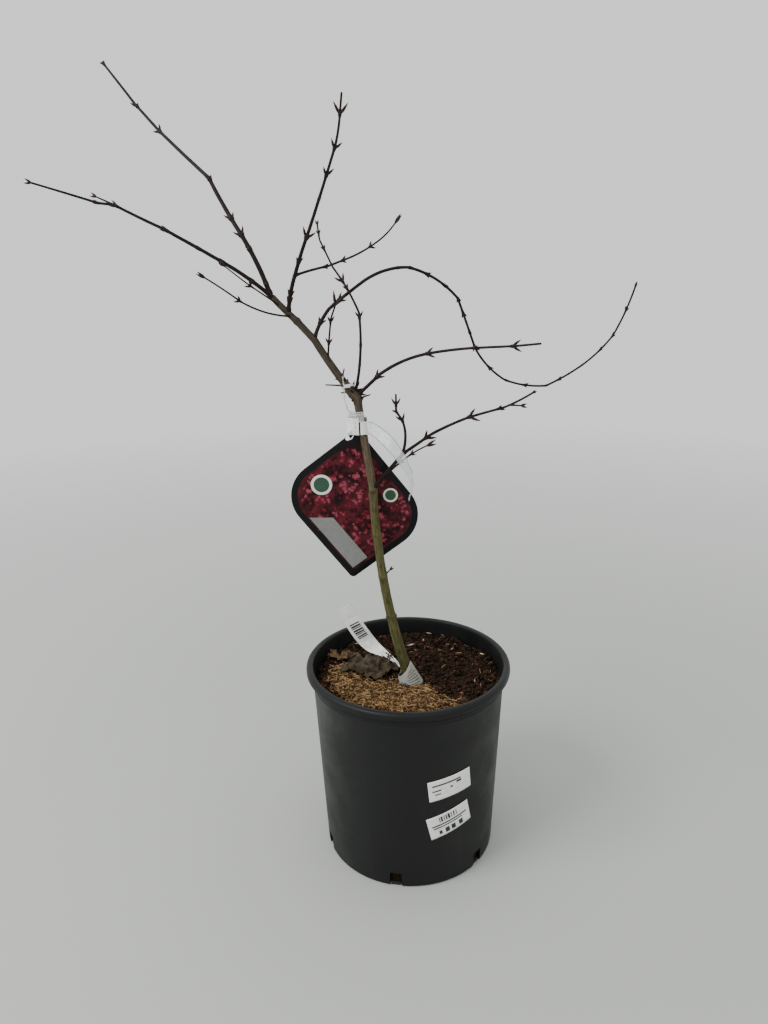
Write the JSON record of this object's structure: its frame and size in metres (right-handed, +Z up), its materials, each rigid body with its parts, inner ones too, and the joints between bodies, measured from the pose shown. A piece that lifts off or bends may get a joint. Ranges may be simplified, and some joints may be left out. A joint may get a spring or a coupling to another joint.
{
  "type": "potted japanese maple",
  "caption": "Young bare japanese maple with a slim leaning trunk, arching shoots and paired buds, in a round black nursery pot of bark, with a hanging plant tag.",
  "frame": {"origin": "centre of the pot's flat underside, on the surface the pot stands on", "axes": "+Z up, +X to the right and +Y away from a viewer who faces the two stickers and the front of the plant tag"},
  "size_m": [0.6162, 0.2332, 0.8737],
  "materials": {
    "pot": "moulded black polypropylene, semi-matt",
    "potting_bark": "moist composted bark with pale coir fibres",
    "trunk_bark": "smooth olive-brown young bark",
    "shoot_bark": "smooth dark purple-brown bark",
    "twigs": "smooth dark purple-brown bark with pointed buds",
    "dead_leaf": "dry crumpled leaf",
    "tag_card": "printed plastic card",
    "clear_film": "clear plastic film",
    "white_label": "white coated paper"
  },
  "bodies": {
    "root": {"bough_arching_fall": "shoot_bark", "bough_arching_rise": "shoot_bark", "bough_centre": "shoot_bark", "bough_inner_right": "shoot_bark", "bough_left": "shoot_bark", "bough_low": "shoot_bark", "bough_right": "shoot_bark", "bough_upper_left": "shoot_bark", "bough_upright": "shoot_bark", "dead_leaf": "dead_leaf", "foot_label": "white_label", "foot_label_strip": "white_label", "plant_tag": "tag_card", "pot": "pot", "soil": "potting_bark", "sticker_lower": "white_label", "sticker_upper": "white_label", "tag_tie": "white_label", "tag_tie_film": "clear_film", "tag_tie_tail": "clear_film", "trunk": "trunk_bark", "twigs_arching_tip": "twigs", "twigs_centre": "twigs", "twigs_inner_right": "twigs", "twigs_left": "twigs", "twigs_left_thin": "twigs", "twigs_low_left": "twigs", "twigs_low_right": "twigs", "twigs_low_thin": "twigs", "twigs_low_up": "twigs", "twigs_right": "twigs", "twigs_short_centre": "twigs", "twigs_trunk_sprig": "twigs", "twigs_union_left": "twigs", "twigs_union_right": "twigs", "twigs_union_up": "twigs", "twigs_upper_left": "twigs", "twigs_upright": "twigs"}
  },
  "joints": []
}
